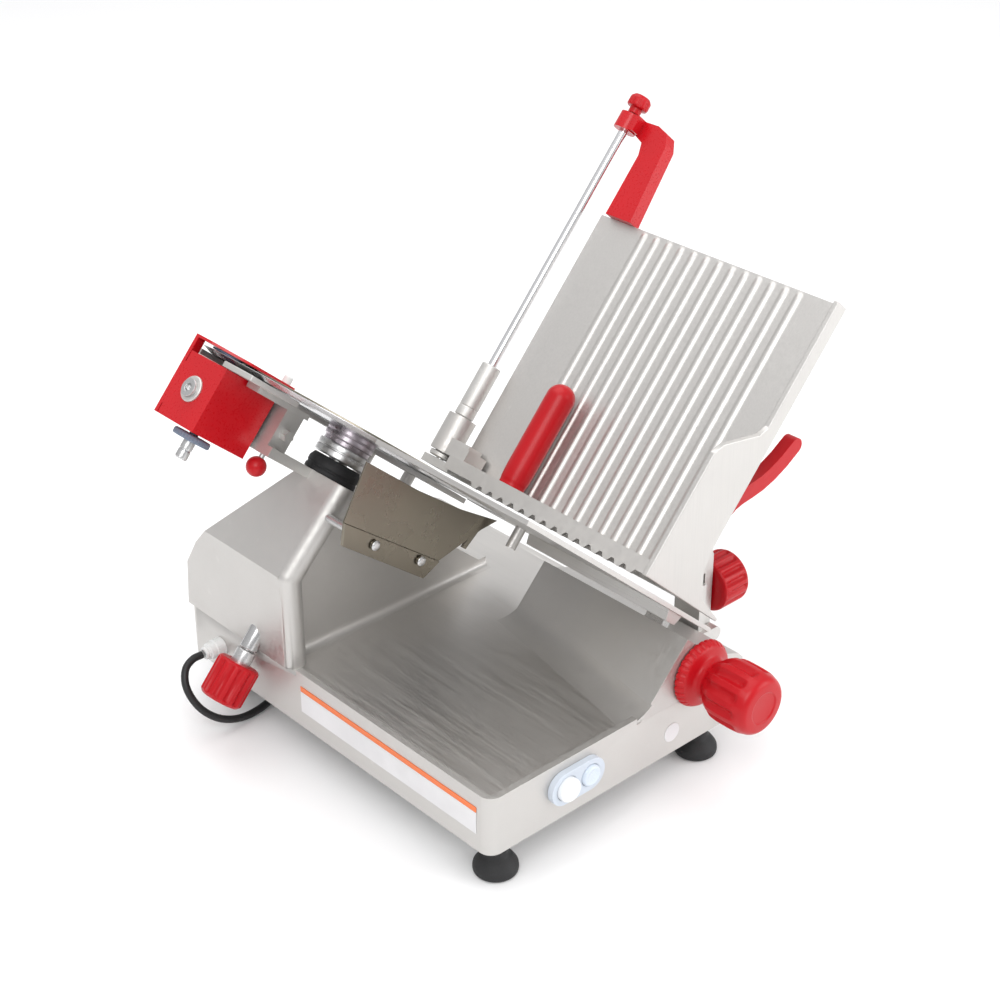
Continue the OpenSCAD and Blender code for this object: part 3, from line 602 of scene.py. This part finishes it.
def make_release():
    place = slope(*RELEASE, 0)
    grip = flutes(12, 2.6, 9.5, -264.5, -230, fade=3)
    knob = lathe("release_grip", [(0, -266), (8, -266), (9, -266.7), (17, -266.7), (20, -263.5), (20, -231),
                                  (18, -228.7), (0, -228.7)], place, AXIS, 1.2, 192, grip)
    settle(knob, "release_knob", "grip_red", sharp=50)
    bush = lathe("release_bush", [(4.2, -214.8), (7.8, -214.8), (8.4, -214), (8.4, -190), (4.2, -190)],
                 place, AXIS, 0.4, 64)
    detail(bush, "motor_tower", "steel")
    shaft = lathe("release_shaft", [(0, -229), (9, -229), (9, -217), (8.2, -216), (4, -216), (4, -100),
                                    (3.4, -99.6), (0, -99.6)], place, AXIS, 0.3, 40)
    settle(shaft, "release_knob", "steel")


# ---------------------------------------------------------------- carriage, tray and press
def make_tray_floor():
    """The ribbed sheet: rounded ribs that rise out of it and die away before its two ends."""
    front, pitch, half_width, height = 56, 15.2, 4.4, 1.7
    across = range(14, 297)
    rows = ((8.0, 0), (11.5, 0), (13, 0.5), (15, 0.9), (18, 1), (278, 1), (282, 0.9), (284.5, 0.5), (286, 0),
            (288, 0))

    def rise(y):
        off = abs((y - front + pitch / 2) % pitch - pitch / 2) / half_width
        return height * (1 - off * off) ** 2 if off < 1 and 50 < y < 245 else 0

    bm = bmesh.new()
    top = [[bm.verts.new(slope(142 - rise(y) * share, y, z)) for y in across] for z, share in rows]
    low = [[bm.verts.new(slope(145, y, z)) for y in (across[0], across[-1])] for z in (8, 288)]
    for a, b in zip(top, top[1:]):
        for i in range(len(across) - 1):
            bm.faces.new([a[i], a[i + 1], b[i + 1], b[i]])
    bm.faces.new([low[0][0], low[0][1], low[1][1], low[1][0]])
    bm.faces.new([*top[0], low[0][1], low[0][0]])
    bm.faces.new([*top[-1], low[1][1], low[1][0]])
    for side in (0, -1):
        bm.faces.new([*[row[side] for row in top], low[1][side], low[0][side]])
    settle(made("tray_floor.skin", bm), "tray_floor", "tray", sharp=40)


def make_tray():
    refined("carriage_arm", 1.2, "cast", corner=35)
    refined("tray_bracket", 1.2, "cast", corner=35)
    make_tray_floor()
    refined("tray_wall", 0.9, "tray")
    refined("tray_lever", 2.6, "grip_red", corner=50, segments=4)
    refined("rod_arm", 1.8, "paint_red")
    refined("rod_foot", 1.0, "cast")
    grip = flutes(16, 2.8, 7.4, 2.5, 30.5, fade=3)
    lock = lathe("lock_grip", [(4, 0), (21, 0), (24.4, 1.6), (25, 4), (25, 28), (24, 31.5), (21, 33.6),
                               (12, 34),
                               (11, 33), (0, 33)], LOCK_KNOB, (1, 0, 0), 1.4, 256, grip)
    settle(lock, "lock_knob", "grip_red", sharp=50)
    stud = lathe("lock_stud", [(0, -12.4), (3.4, -12.4), (4, -11.8), (4, 0.2), (0, 0.2)], LOCK_KNOB,
                 (1, 0, 0), 0.3, 40)
    settle(stud, "lock_knob", "steel")
    rod_place = slope(*PRESS_ROD, 0)
    rod = lathe("rod", [(0, 9), (4.5, 9), (4.5, 383), (4, 383.6), (0, 383.6)], rod_place, AXIS, 0.2, 48)
    settle(rod, "press_rod", "chrome")
    cap = lathe("rod_cap", [(0, 384), (6, 384), (6, 389.6), (9.6, 390), (10.5, 391.6), (10.5, 398.6),
                            (7.5, 402),
                            (0, 402)], rod_place, AXIS, 0.7, 128, flutes(8, 1.0, 10, 390, 401, fade=1.2))
    settle(cap, "rod_knob", "grip_red", sharp=50)


def make_press():
    place = slope(*PRESS_ROD, 0)
    sleeve = lathe("sleeve", [(4.6, 17), (11.2, 17), (12, 17.8), (12, 21.4), (11.2, 22), (8, 22), (8, 61),
                              (9.1, 61.2),
                              (9.5, 61.8), (9.5, 70), (9.1, 70.3), (9.1, 71.3), (9.5, 71.6), (9.5, 114.2),
                              (8.8, 115),
                              (4.6, 115)], place, AXIS, 0.5)
    settle(sleeve, "press_sleeve", "cast")
    refined("press_arm", 0.9, "casting", corner=40)
    dome = [(13.5 * math.cos(math.pi * k / 24), 90 + 13.5 * math.sin(math.pi * k / 24)) for k in range(13)]
    grip = lathe("grip", [(0, 0), (12.4, 0), (12.4, 3), (13, 6), (13.5, 16), *dome], slope(124, 216, 24),
                 AXIS, 0.8)
    settle(grip, "press_grip", "grip_red")


# ---------------------------------------------------------------- what stays as the CAD drew it
CAD_LOOKS = {"anodised_casting": "casting", "cast_aluminium": "cast", "steel": "steel",
             "steel_sheet": "sheet",
             "polished_steel": "polish", "blade_steel": "blade", "hub_steel": "hub", "chrome": "chrome",
             "black_rubber": "rubber", "black_plastic": "black", "motor_paint": "motor",
             "grey_nylon": "nylon",
             "blue_grey_rubber": "bezel", "label_white": "film", "label_orange": "band",
             "red_plastic": "grip_red",
             "red_paint": "paint_red", "stone_blue": "stone", "button_white": "white", "button_blue": "blue",
             "cord_black": "cord"}


def dress_cad_nodes():
    for name, node in frame["nodes"].items():
        node.data.materials.clear()
        node.data.materials.append(M[CAD_LOOKS[SLOT_OF[name]]])


# ---------------------------------------------------------------- studio
def make_studio():
    floor = bpy.data.materials.new("floor_white")
    floor.use_nodes = True
    shader = floor.node_tree.nodes["Principled BSDF"]
    shader.inputs["Base Color"].default_value = (0.95, 0.95, 0.95, 1)
    shader.inputs["Roughness"].default_value = 0.9
    mesh = bpy.data.meshes.new("floor")
    mesh.from_pydata([(x, y, -0.0005) for x, y in ((-12, -12), (12, -12), (12, 12), (-12, 12))], [],
                     [(0, 1, 2, 3)])
    mesh.materials.append(floor)
    plane = bpy.data.objects.new("floor", mesh)
    bpy.context.scene.collection.objects.link(plane)

    world = bpy.data.worlds.new("studio")
    bpy.context.scene.world = world
    world.use_nodes = True
    tree = world.node_tree
    place = tree.nodes.new("ShaderNodeTexCoord").outputs["Generated"]
    split = tree.nodes.new("ShaderNodeSeparateXYZ")
    ramp = tree.nodes.new("ShaderNodeValToRGB")
    for stop, tint in zip(ramp.color_ramp.elements, (0.6, 1.1)):
        stop.color = (tint, tint, tint * 1.01, 1)
    tree.links.new(place, split.inputs[0])
    tree.links.new(split.outputs["Z"], ramp.inputs["Fac"])
    background = tree.nodes["Background"]
    tree.links.new(ramp.outputs["Color"], background.inputs["Color"])
    background.inputs["Strength"].default_value = 0.85

    for name, place, size, power in (("key", (-1.6, -1.3, 2.2), 1.6, 34), ("top", (0.3, 0.6, 2.6), 2.4, 30),
                                     ("fill", (1.5, -2.0, 1.0), 1.6, 26)):
        light = bpy.data.lights.new(name, "AREA")
        light.shape, light.size, light.energy = "SQUARE", size, power
        lamp = bpy.data.objects.new(name, light)
        lamp.matrix_world = placed(Vector(place), Vector(place) - Vector((0, 0, 0.2)))
        bpy.context.scene.collection.objects.link(lamp)
    bpy.context.scene.view_settings.view_transform = "Standard"


M["slate"] = plastic("slate_blue", (0.16, 0.20, 0.27), 0.45)
dress_cad_nodes()
make_base()
make_switch()
make_gland()
make_blade()
make_deflector()
make_sharpener()
make_gauge()
make_release()
make_tray()
make_press()
make_studio()
